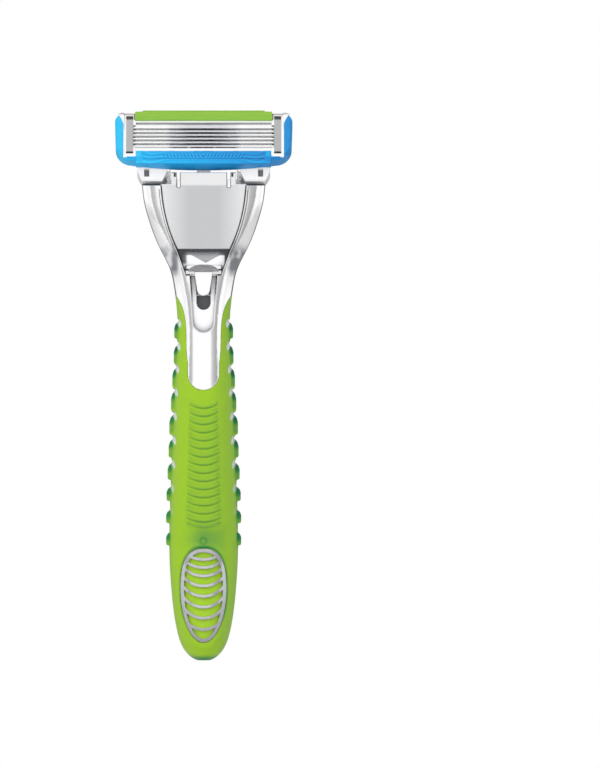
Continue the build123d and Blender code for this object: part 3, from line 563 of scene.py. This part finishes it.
def grip():
    piece = remeshed("grip", "grip_overmould", 0.2, 2, hooks())
    points, normals = points_of(piece.data)
    x, y = points[:, 0], points[:, 1]
    height = points[:, 2] + WAIST_HEIGHT
    front = smooth_step(-normals[:, 1], 0.3, 0.6)
    lift, tone_and_shade = ribs(x, height)
    lift, tone_and_shade = lift * front, tone_and_shade * front

    # a shallow dish between the ribs and the inlay, with the moulding's gate mark, both darkened by painted
    # shade
    dish = hump(height, 28.6, 5.4) * hump(x, 0.4, 6.6) * front
    mark = hump(np.hypot(x, height - 28.2), 0.75, 0.3) * front
    lift = lift - 0.18 * dish - 0.12 * mark
    tone_and_shade = tone_and_shade + 0.5 * dish + 0.2 * mark
    # the lip round the inlay, with a painted shadow line round it
    reach = egg_reach(x, height)
    lift = lift + 0.16 * hump(reach, 1.1, 0.09) * front
    tone_and_shade = tone_and_shade + 0.45 * hump(reach, 1.03, 0.07) * front * smooth_step(height, 4, 14)

    # fins stand out of the side, with painted shade: dark on top, paler lower down
    waist = np.interp(height, *zip(*HALF_WIDTHS))
    out = smooth_step(np.abs(x), waist - 0.5, waist - 0.05) * smooth_step(height, 26, 27)
    below = np.full_like(height, 9.0)
    for top, *_ in FINS:
        below = np.where((top - height > -0.4) & (top - height < below), top - height, below)
    fin = smooth_step(-below, -4.2, -3.4)
    strength = 0.7 + 0.2 * smooth_step(height, 45, 75)
    tone_and_shade = tone_and_shade + out * fin * strength * (1 - 0.62 * smooth_step(below, 0.7, 2.4))
    # painted shade: the sides, the tip and the right-hand side turn darker
    tone_and_shade = tone_and_shade + 0.85 * smooth_step(-height, -1.9, -0.3)
    tone_and_shade = tone_and_shade + 0.1 * smooth_step(np.abs(x) / waist, 0.75, 1.0) + 0.14 * smooth_step(x, 1.5, 5.0)
    # bright metal shows in a notch inside each fin's pointed top, less in the lower ones
    metal = np.zeros_like(height)
    for top, *_ in FINS:
        strong = smooth_step(top, 30, 50)
        lean = 0.22 * (height - top - 0.2)
        level = np.hypot((height - top - 0.2) / 1.15, (np.abs(x) - waist + 0.42 - lean) / 0.45)
        metal = np.maximum(metal, strong * smooth_step(-level, -1.0, -0.75))
    lift = lift - 0.3 * metal
    silver = piece.data.attributes.new("metal", "FLOAT", "POINT")
    silver.data.foreach_set("value", metal)
    reshape(piece.data, points + normals * lift[:, None], tone_and_shade)
    piece.data.materials.clear()
    piece.data.materials.append(RUBBER)
    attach(piece, "handle")
    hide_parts("grip")


def cartridge_plane(points):
    """Along the cartridge's face and out of it, from the pivot axis, in millimetres."""
    y, z = points[:, 1], points[:, 2] - PIVOT_UP
    return y * sin(TILT) + z * cos(TILT), -y * cos(TILT) + z * sin(TILT)


PAD_HALF, PAD_TOP = 15.85, 3.85
TEETH_HALF, TEETH_PITCH = 10.0, 0.82


def guard():
    piece = remeshed("guard", "guard_moulding", 0.16, 2)
    points, normals = points_of(piece.data)
    x = points[:, 0]
    along, out = cartridge_plane(points)
    facing = -normals[:, 1] * cos(TILT) + normals[:, 2] * sin(TILT)
    front = smooth_step(facing, 0.5, 0.8) * smooth_step(out, 4.2, 4.7)
    aside = np.abs(x)
    pad = front * smooth_step(-aside, -PAD_HALF, -PAD_HALF + 0.2)

    # slanting teeth that meet in a chevron at the middle
    slant = np.mod((aside - 0.55 * (along - 2.0)) / TEETH_PITCH, 1.0)
    row = hump(along, 2.55, 0.75) * smooth_step(-aside, -TEETH_HALF, -TEETH_HALF + 0.8) * pad
    tooth = hump(slant, 0.5, 0.5)
    lift = 0.2 * row * (tooth - 0.4)
    # painted light: paler to the left, where the key light stands, with painted highlights on the teeth and
    # painted shade between them
    tone_and_shade = 0.47 + 0.013 * x - 0.04 * pad - 0.75 * row * (tooth - 0.66)

    # ridges that flow from the corner blocks and part round the teeth, paler on top with painted shade
    # between
    spread = smooth_step(aside, 8.0, 14.5)
    flow = along - 2.35 + 0.5 * spread * np.sin((aside - 9) * 0.62)
    lines = np.cos(flow * (6.5 - 1.6 * spread)) * smooth_step(aside, 7.5, 10) * pad
    lines = lines * smooth_step(-aside, -14.6, -14.0)
    lift = lift + 0.07 * lines
    tone_and_shade = tone_and_shade - 0.16 * lines
    # long steps above and below them, with painted shade in the grooves and a painted highlight on the raised
    # one
    for level, depth in ((3.35, 0.06), (1.75, 0.12), (1.45, -0.06)):
        groove = hump(along, level, 0.2) * pad * smooth_step(-aside, -14.6, -14.0)
        lift = lift - depth * groove
        tone_and_shade = tone_and_shade + 2.6 * depth * groove
    # corner blocks with a round stud: a painted highlight on the blocks and painted shade on the stud's rim
    block = smooth_step(aside, 14.5, 14.7) * smooth_step(along, 2.2, 2.4) * pad
    stud = hump(np.hypot(aside - 15.2, along - 3.05), 0.42, 0.22)
    lift = lift + 0.16 * block + 0.08 * stud * block
    tone_and_shade = tone_and_shade - 0.4 * block + 0.25 * stud * block
    # paler towards the ends of the cartridge and along the lower lip
    tone_and_shade = tone_and_shade - 0.12 * smooth_step(aside, 15, 20)
    tone_and_shade = tone_and_shade - 0.12 * front * hump(along, 0.75, 0.6)
    reshape(piece.data, points + normals * lift[:, None], tone_and_shade)
    piece.data.materials.clear()
    piece.data.materials.append(BLUE)
    piece.visible_diffuse = False  # keeps the feet white
    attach(piece, "cartridge")
    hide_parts("guard")


def soften_edges(node, width):
    """Rounds the sharp edges of a simple CAD node."""
    weld = NODES[node].modifiers.new("weld", "WELD")
    weld.merge_threshold = 0.002 * MM
    bevel = NODES[node].modifiers.new("bevel", "BEVEL")
    bevel.width = width * MM
    bevel.segments = 3
    bevel.limit_method = "ANGLE"
    bevel.angle_limit = radians(40)
    bevel.harden_normals = True


def plate(name, corners, thick, material, body):
    """A small bevelled plate from its front corners, thick towards the back."""
    mesh = bpy.data.meshes.new(name)
    builder = bmesh.new()
    front = [builder.verts.new(Vector(corner) * MM) for corner in corners]
    back = [builder.verts.new((Vector(corner) + Vector((0, thick, 0))) * MM) for corner in corners]
    builder.faces.new(front)
    builder.faces.new(back[::-1])
    for here, ahead in zip(range(len(front)), [*range(1, len(front)), 0]):
        builder.faces.new((front[here], back[here], back[ahead], front[ahead]))
    bmesh.ops.recalc_face_normals(builder, faces=builder.faces)
    bmesh.ops.bevel(builder, geom=builder.edges[:], offset=0.03 * MM, segments=2, affect="EDGES")
    builder.to_mesh(mesh)
    builder.free()
    mesh.materials.append(material)
    piece = bpy.data.objects.new(name, mesh)
    bpy.context.scene.collection.objects.link(piece)
    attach(piece, body)
    return piece


def spring(node):
    """A copy of a spring's CAD node in spring steel, on the handle; the node itself is hidden."""
    piece = bpy.data.objects.new(f"{node}_coil", NODES[node].data.copy())
    bpy.context.scene.collection.objects.link(piece)
    piece.data.materials.clear()
    piece.data.materials.append(SPRING)
    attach(piece, "handle")
    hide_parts(node)
    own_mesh(piece)


def slot_floor_shade():
    """A plate of painted shade on the floor of the slot under the tongue, round at its lower end."""
    half, round_height, top, deep = 1.62, 84.05, 85.7, -0.06
    turns = [radians(turn) for turn in range(180, 361, 15)]
    arc = [(half * cos(turn), round_height + half * sin(turn)) for turn in turns]
    corners = [(x, deep, height - WAIST_HEIGHT) for x, height in [*arc, (half, top), (-half, top)]]
    plate("slot_shade_plate", corners, 0.2, DARK, "handle")


def on_cartridge(x, along, out):
    """A point of the cartridge's face in the frame, in millimetres."""
    return (x, along * sin(TILT) - out * cos(TILT), PIVOT_UP + along * cos(TILT) + out * sin(TILT))


def dark_gaps():
    """Dark plates of painted shade in the comb's open slots at the blades' ends, and in the joints at the
    ends of the strip.
    """
    first, pitch = 5.36, 0.97
    for side, name in ((-1, "left"), (1, "right")):
        for index in range(6):
            low = first + index * pitch
            ring = ((15.98, low), (16.5, low), (16.5, low + 0.4), (15.98, low + 0.4))
            corners = [on_cartridge(side * x, along, FRAME_SKIN) for x, along in ring]
            plate(f"comb_slot_{name}_{index + 1}", corners, 0.15, SHADE, "cartridge")
        ring = ((16.13, 11.95), (16.36, 11.95), (16.36, 13.5), (16.13, 13.5))
        corners = [on_cartridge(side * x, along, FRAME_SKIN) for x, along in ring]
        plate(f"strip_joint_{name}", corners, 0.15, SHADE, "cartridge")


def curve_through(knots, count):
    """Points on a smooth curve through knots given as (height, half width)."""
    heights, halves = zip(*knots)
    slopes = np.gradient(halves, heights)
    made = []
    for height in np.linspace(heights[0], heights[-1], count):
        index = min(int(np.searchsorted(heights, height, side="right")) - 1, len(heights) - 2)
        gap = heights[index + 1] - heights[index]
        share = (height - heights[index]) / gap
        cube, square = share**3, share**2
        half = (
            (2 * cube - 3 * square + 1) * halves[index] + (cube - 2 * square + share) * gap * slopes[index]
            + (3 * square - 2 * cube) * halves[index + 1] + (cube - square) * gap * slopes[index + 1]
        )
        made.append((half, height))
    return made


def cord_of(name, points, radius, material):
    """A thin round bead along points given in millimetres."""
    curve = bpy.data.curves.new(name, "CURVE")
    curve.dimensions = "3D"
    line = curve.splines.new("POLY")
    line.points.add(len(points) - 1)
    for mark, point in zip(line.points, points):
        mark.co = (*(Vector(point) * MM), 1)
    curve.bevel_depth = radius * MM
    curve.bevel_resolution = 3
    curve.use_fill_caps = True
    holder = bpy.data.objects.new(name + "_line", curve)
    bpy.context.scene.collection.objects.link(holder)
    bpy.context.view_layer.update()
    mesh = bpy.data.meshes.new_from_object(holder.evaluated_get(bpy.context.evaluated_depsgraph_get()))
    bpy.data.objects.remove(holder)
    mesh.shade_smooth()
    mesh.materials.clear()
    mesh.materials.append(material)
    piece = bpy.data.objects.new(name, mesh)
    bpy.context.scene.collection.objects.link(piece)
    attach(piece, "handle")


# Half widths of the opening between the arms at heights above the tip
OPENING = ((96.4, 6.3), (101.4, 8.3), (106.3, 9.5), (111.55, 10.1))
# How far the arms' inner edges stand to the front at heights above the tip
ARM_DEPTHS = ((90.0, 4.88), (96.0, 4.7), (104.0, 4.5), (113.4, 4.1))


def plate_shade_and_arm_beads():
    """A dark bead of painted shade in the gap round the face plate, and the bead along the arms' inner edges.
    """
    sides = curve_through(OPENING, 40)
    level = -3.28
    left = [(-half + 0.12, level, height - WAIST_HEIGHT) for half, height in reversed(sides)]
    foot = [
        (x, level, 96.52 - 0.16 * (1 - (x / 6.2) ** 2) - WAIST_HEIGHT)
        for x in np.linspace(-6.0, 6.0, 21)
    ]
    right = [(half - 0.12, level, height - WAIST_HEIGHT) for half, height in sides]
    cord_of("plate_gap_shade", left + foot + right, 0.17, SHADE)
    depths, heights = zip(*curve_through(ARM_DEPTHS, 50))
    for side, name in ((-1, "left"), (1, "right")):
        edge = [
            (side * (half + 0.72), 0.03 - np.interp(height, heights, depths), height - WAIST_HEIGHT)
            for half, height in sides[2:-2]
        ]
        cord_of(f"arm_bead_{name}", edge, 0.1, CHROME)


def lower_gap():
    """Broken dashes of painted shade along the foot of the lowest blade."""
    for index, (left, right) in enumerate(((-7.2, -3.6), (-3.2, -0.4), (0.0, 2.3), (2.7, 7.4))):
        ring = ((left, 4.62), (right, 4.62), (right - 0.25, 4.88), (left + 0.25, 4.88))
        corners = [on_cartridge(x, along, 5.12) for x, along in ring]
        plate(f"lower_gap_{index + 1}", corners, 0.12, SHADE, "cartridge")


def sill():
    """The white ledge between the guard and the lowest blade."""
    ring = ((-15.9, 3.95), (15.9, 3.95), (15.9, 4.62), (-15.9, 4.62))
    corners = [on_cartridge(x, along, FRAME_SKIN - 0.01) for x, along in ring]
    plate("sill", corners, 0.15, PLASTIC_WHITE, "cartridge")


def foot_slots():
    """The shaded floors of the slots in the feet's fronts."""
    for side, name in ((-1, "left"), (1, "right")):
        ring = ((12.8, -1.2), (13.9, -1.2), (13.9, 0.9), (12.8, 0.9))
        corners = [on_cartridge(side * x, along, 0.5) for x, along in ring]
        plate(f"foot_slot_{name}", corners, 0.15, RIM, "cartridge")


def corner_caps():
    """The frame's white corners, which overlap the tapering tops of the guard's ends."""
    for side, name in ((-1, "left"), (1, "right")):
        bow = [(18.7 + 1.5 * share**2.2, 9.4 + 3.95 * share) for share in np.linspace(0, 1, 9)]
        ring = [*bow, (19.5, 13.6), (18.7, 13.66)]
        corners = [on_cartridge(side * x, along, GUARD_SKIN) for x, along in ring]
        plate(f"corner_cap_{name}", corners, 0.4, PLASTIC_WHITE, "cartridge")


def plate_marks():
    """The shaded rims of the face plate's slots, and the dark marks beside them."""
    top, low = 36.55, 33.0
    for side, name in ((-1, "left"), (1, "right")):
        rim = [(side * 5.45, top), (side * 5.45, low + 0.3), (side * 5.6, low), (side * 6.2, low),
               (side * 6.35, low + 0.3), (side * 6.35, top), (side * 7.5, top)]
        cord_of(f"slot_rim_{name}", [(x, PLATE_SKIN, z) for x, z in rim], 0.1, RIM)
        ring = ((6.5, 35.55), (7.0, 35.55), (7.0, 36.5), (6.5, 36.5))
        corners = [(side * x, PLATE_SKIN - 0.03, z) for x, z in ring]
        plate(f"plate_mark_{name}", corners, 0.1, SHADE, "handle")


def thumb_pad():
    """A dull, dimpled pad that lies over the button's bridge, half round at its top."""
    base, top, half = 91.3, 93.05, 3.6
    mesh = bpy.data.meshes.new("thumb_pad")
    builder = bmesh.new()
    rows = []
    for height in np.linspace(base, top - 0.02, 22):
        depth = np.interp(height, (base, 91.5, 92.85, 93.0, top), (-4.86, -4.84, -2.36, -2.26, -2.26))
        width = half * max(1 - ((height - base) / (top - base)) ** 2, 0.0) ** 0.5
        rows.append([
            builder.verts.new(Vector((x, depth, height - WAIST_HEIGHT)) * MM)
            for x in np.linspace(-width, width, 31)
        ])
    for low_row, high_row in zip(rows, rows[1:]):
        for step in range(30):
            builder.faces.new((low_row[step], low_row[step + 1], high_row[step + 1], high_row[step]))
    bmesh.ops.solidify(builder, geom=builder.faces[:], thickness=0.05 * MM)
    bmesh.ops.recalc_face_normals(builder, faces=builder.faces)
    builder.to_mesh(mesh)
    builder.free()
    mesh.materials.append(PAD)
    piece = bpy.data.objects.new("thumb_pad", mesh)
    bpy.context.scene.collection.objects.link(piece)
    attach(piece, "slider")


dark_gaps()
sill()
lower_gap()
foot_slots()
corner_caps()
plate_marks()
thumb_pad()
plate_shade_and_arm_beads()
grip()
guard()
slot_floor_shade()
spring("slider_spring")
spring("plunger_spring")
soften_edges("lube_strip", 0.25)
NODES["lube_strip"].visible_glossy = False  # keeps its green out of the blades


# ---------------------------------------------------------------- studio
def light(name, place, aim, width, height, power):
    lamp = bpy.data.lights.new(name, "AREA")
    lamp.shape = "RECTANGLE"
    lamp.size = width
    lamp.size_y = height
    lamp.energy = power
    holder = bpy.data.objects.new(name, lamp)
    holder.location = place
    holder.rotation_euler = (Vector(aim) - Vector(place)).to_track_quat("-Z", "Y").to_euler()
    holder.visible_glossy = False  # the chrome mirrors the studio alone
    bpy.context.scene.collection.objects.link(holder)


def card(name, corners, colour):
    """A flat studio card that shows only in reflections."""
    mesh = bpy.data.meshes.new(name)
    mesh.from_pydata(corners, [], [range(len(corners))])
    piece = bpy.data.objects.new(name, mesh)
    bpy.context.scene.collection.objects.link(piece)
    paint = Paint(name)
    paint.colour(paint.ramp(paint.noise(30, 3), (0.3, colour), (0.7, [level + 3 for level in colour])))
    paint.give(Roughness=0.9, Emission_Color=screen(colour), Emission_Strength=0.8)
    mesh.materials.append(paint.material)
    piece.visible_camera = False
    piece.visible_diffuse = False
    piece.visible_shadow = False


def world():
    """White to the camera.  Gloss sees a bright studio with slim flags at both sides and a dark
    ring behind the object; matt surfaces are lit mostly from the front."""
    made = bpy.data.worlds.new("studio")
    made.use_nodes = True
    bpy.context.scene.world = made
    tree = made.node_tree
    tree.nodes.clear()

    def node(kind, **settings):
        fresh = tree.nodes.new(kind)
        for name, value in settings.items():
            setattr(fresh, name, value)
        return fresh

    def math(operation, *inputs):
        fresh = node("ShaderNodeMath", operation=operation)
        for socket, value in zip(fresh.inputs, inputs):
            if isinstance(value, (int, float)):
                socket.default_value = value
            else:
                tree.links.new(value, socket)
        return fresh.outputs[0]

    def levels(value, low, high, *stops):
        """Brightness along a value: each stop is a place between low and high and a level."""
        span = node("ShaderNodeMapRange")
        span.inputs["From Min"].default_value = low
        span.inputs["From Max"].default_value = high
        tree.links.new(value, span.inputs["Value"])
        ramp = node("ShaderNodeValToRGB")
        marks = ramp.color_ramp.elements
        while len(marks) < len(stops):
            marks.new(1)
        for mark, (place, level) in zip(marks, stops):
            mark.position = (place - low) / (high - low)
            mark.color = (level, level, level, 1)
        tree.links.new(span.outputs[0], ramp.inputs[0])
        return ramp.outputs[0]

    split = node("ShaderNodeSeparateXYZ")
    tree.links.new(node("ShaderNodeTexCoord").outputs["Generated"], split.inputs[0])
    x, y, z = split.outputs
    turn = math("MULTIPLY", math("ARCTAN2", x, math("MULTIPLY", y, -1.0)), 180 / pi)
    ring = levels(
        y, -1, 1, (-1, 1.0), (0.55, 1.0), (0.7, 0.8), (0.8, 0.12), (0.97, 0.1), (0.995, 0.8), (1, 0.9),
    )
    flags = levels(
        turn, -180, 180, (-180, 1), (-80, 1), (-64, 0.88), (-49, 1), (-46, 0.42), (-35, 0.6), (-31, 1),
        (17, 1), (24, 0.6), (43, 0.36), (48, 1), (62, 1), (72, 0.85), (84, 1), (180, 1),
    )
    ground = levels(z, -1, 1, (-1, 0.2), (-0.5, 0.2), (-0.33, 0.35), (-0.22, 0.7), (-0.1, 1.0), (1, 1.0))
    gloss = math("MULTIPLY", math("MULTIPLY", ring, flags), ground)
    frontal = levels(y, -1, 1, (-1, 1.0), (-0.3, 0.9), (0.2, 0.45), (1, 0.2))
    overhead = levels(z, -1, 1, (-1, 0.25), (-0.2, 0.85), (0, 0.97), (1, 1.0))
    matt = math("MULTIPLY", frontal, overhead)
    rays = node("ShaderNodeLightPath")

    def background(level, strength):
        made = node("ShaderNodeBackground")
        made.inputs["Strength"].default_value = strength
        tree.links.new(level, made.inputs["Color"])
        return made.outputs[0]

    def either(choice, first, second):
        mix = node("ShaderNodeMixShader")
        for socket, source in zip(mix.inputs, (choice, first, second)):
            tree.links.new(source, socket)
        return mix.outputs[0]

    seen = node("ShaderNodeBackground")
    seen.inputs["Color"].default_value = (1, 1, 1, 1)
    around = either(rays.outputs["Is Glossy Ray"], background(matt, 1.0), background(gloss, 1.05))
    both = either(rays.outputs["Is Camera Ray"], around, seen.outputs[0])
    tree.links.new(both, node("ShaderNodeOutputWorld").inputs[0])


def floor():
    level, half = -0.125, 0.6
    mesh = bpy.data.meshes.new("floor")
    mesh.from_pydata([(-half, -half, level), (half, -half, level), (half, half, level), (-half, half, level)],
                     [], [(0, 1, 2, 3)])
    piece = bpy.data.objects.new("floor", mesh)
    bpy.context.scene.collection.objects.link(piece)
    mesh.materials.append(floor_paper())


world()
floor()
light("key", (-0.7, -0.8, 0.45), (0, 0, 0), 0.5, 0.7, 2.4)
light("top", (0, -0.5, 0.9), (0, 0, 0), 0.6, 0.6, 1.0)
CARD_HALF, CARD_DEEP, CARD_UP = 0.006, 0.03, 0.12
CARD_CORNERS = [
    (-CARD_HALF, -CARD_DEEP, CARD_UP),
    (CARD_HALF, -CARD_DEEP, CARD_UP),
    (CARD_HALF, CARD_DEEP, CARD_UP),
    (-CARD_HALF, CARD_DEEP, CARD_UP),
]
card("blade_card", CARD_CORNERS, (222, 222, 224))


# ---------------------------------------------------------------- camera
VIEW_HEIGHT = 0.1802  # what the picture takes in, from top to bottom, at the object
DISTANCE = 3.0
SENSOR = 0.036
AIM = (0.0226, -0.0130)
lens = bpy.data.cameras.new("camera")
lens.lens = 1000 * SENSOR * DISTANCE / VIEW_HEIGHT
lens.clip_end = 20
camera = bpy.data.objects.new("camera", lens)
camera.location = (AIM[0], -DISTANCE, AIM[1])
camera.rotation_euler = (radians(90), 0, 0)
bpy.context.scene.collection.objects.link(camera)
bpy.context.scene.camera = camera
bpy.context.scene.view_settings.view_transform = "Standard"
